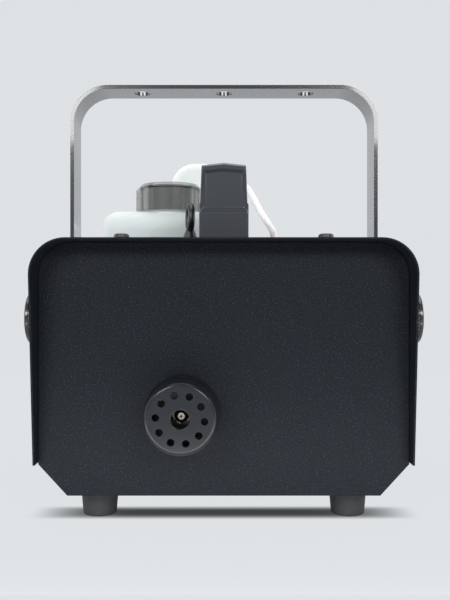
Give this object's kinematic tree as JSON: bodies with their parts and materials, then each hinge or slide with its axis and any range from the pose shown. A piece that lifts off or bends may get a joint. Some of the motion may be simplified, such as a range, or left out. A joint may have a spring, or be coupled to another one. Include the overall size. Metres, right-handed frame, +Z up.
{
  "type": "fog machine",
  "caption": "Compact stage fog machine with folded hood, perforated nozzle guard, translucent tank with screw cap, carry handle and tilting hanging bracket with side knobs",
  "frame": {"origin": "on the floor, under the middle of the machine's bounding box", "axes": "+Z up, the nozzle and front face -Y, +X is to the right seen from the front"},
  "size_m": [0.319, 0.3, 0.3153],
  "materials": {
    "black_powder": "fine textured powder coat",
    "bracket_paint": "satin powder coat",
    "guard_paint": "satin black paint",
    "zinc_black": "black zinc plate",
    "steel": "bright",
    "bare_steel": "zinc plated",
    "foot_rubber": "moulded",
    "seal_rubber": "smooth",
    "knob_plastic": "moulded, ridged",
    "handle_plastic": "moulded, satin",
    "tank_plastic": "translucent blow moulding",
    "cap_plastic": "smoky translucent",
    "hose_tube": "soft clear tube",
    "brass": "turned",
    "cast_aluminium": "as cast",
    "glass_wrap": "woven glass fibre",
    "bakelite": "moulded",
    "circuit_board": "solder mask",
    "white_plastic": "moulded",
    "socket_plastic": "moulded",
    "rocker_plastic": "moulded",
    "fuse_glass": "clear",
    "wire_jacket": "PVC"
  },
  "bodies": {
    "case": {"hood": "black_powder", "base_tray": "black_powder", "front_panel": "black_powder", "rear_panel": "black_powder", "hood_top_screws": "zinc_black", "foot_front_left": "foot_rubber", "foot_front_right": "foot_rubber", "foot_rear_left": "foot_rubber", "foot_rear_right": "foot_rubber", "carry_handle": "handle_plastic", "safety_eye": "zinc_black", "fluid_tank": "tank_plastic", "fluid_hose": "hose_tube", "tank_fitting": "handle_plastic", "pickup_tube": "hose_tube", "pickup_strainer": "steel", "hose_gland": "handle_plastic", "tank_cradle": "bare_steel", "nozzle_guard": "guard_paint", "nozzle_tip": "brass", "nozzle_tube": "steel", "heater_block": "cast_aluminium", "heating_elements": "steel", "heater_wrap": "glass_wrap", "heater_stands": "bare_steel", "thermostat": "bakelite", "thermal_cutout": "bakelite", "pump_frame": "bare_steel", "pump_coil": "bakelite", "pump_sleeve": "steel", "pump_inlet": "bakelite", "pump_outlet": "brass", "pump_spring": "steel", "pump_line": "steel", "control_board": "circuit_board", "board_posts": "brass", "board_components": "bakelite", "terminal_strip": "white_plastic", "mains_inlet": "socket_plastic", "switch_case": "socket_plastic", "fuse_holder": "socket_plastic", "remote_socket": "socket_plastic", "flat_washers": "steel", "small_screws": "zinc_black", "hex_nuts": "steel", "fine_screws": "zinc_black", "socket_pins": "steel", "inside_wires": "wire_jacket"},
    "bracket": {"hanging_bracket": "bracket_paint", "knob_washers": "seal_rubber"},
    "knob_left": {"knob_left": "knob_plastic", "knob_stud_left": "steel"},
    "knob_right": {"knob_right": "knob_plastic", "knob_stud_right": "steel"},
    "cap_seal": {"cap_liner": "seal_rubber"},
    "cap": {"tank_cap": "cap_plastic"},
    "rocker": {"switch_rocker": "rocker_plastic"},
    "fuse_carrier": {"glass_fuse": "fuse_glass"},
    "fuse_knob": {"fuse_cap": "socket_plastic"},
    "plunger": {"pump_plunger": "steel"}
  },
  "joints": [
    {"name": "bracket_tilt", "type": "hinge", "parent": "case", "child": "bracket", "pos_m": [0, 0.02, 0.1277], "axis": [1, 0, 0], "range_deg": [-90, 90]},
    {"name": "knob_left_turn", "type": "hinge", "parent": "case", "child": "knob_left", "pos_m": [-0.141, 0.02, 0.1277], "axis": [-1, 0, 0], "continuous": true},
    {"name": "knob_right_turn", "type": "hinge", "parent": "case", "child": "knob_right", "pos_m": [0.141, 0.02, 0.1277], "axis": [1, 0, 0], "continuous": true},
    {"name": "cap_lift", "type": "slide", "parent": "case", "child": "cap_seal", "axis": [0, 0, 1], "range_m": [0, 0.03]},
    {"name": "cap_turn", "type": "hinge", "parent": "cap_seal", "child": "cap", "pos_m": [-0.048, 0.07, 0.235], "axis": [0, 0, 1], "continuous": true},
    {"name": "power_switch", "type": "hinge", "parent": "case", "child": "rocker", "pos_m": [0.04, 0.1304, 0.06], "axis": [1, 0, 0], "range_deg": [-16, 0]},
    {"name": "fuse_pull", "type": "slide", "parent": "case", "child": "fuse_carrier", "axis": [0, 1, 0], "range_m": [0, 0.03]},
    {"name": "fuse_cap_turn", "type": "hinge", "parent": "fuse_carrier", "child": "fuse_knob", "pos_m": [0.078, 0.135, 0.11], "axis": [0, 1, 0], "range_deg": [-90, 0]},
    {"name": "pump_stroke", "type": "slide", "parent": "case", "child": "plunger", "axis": [0, 0, 1], "range_m": [-0.004, 0], "stiffness_N_per_m": 600, "deforming": ["pump_spring"]}
  ]
}
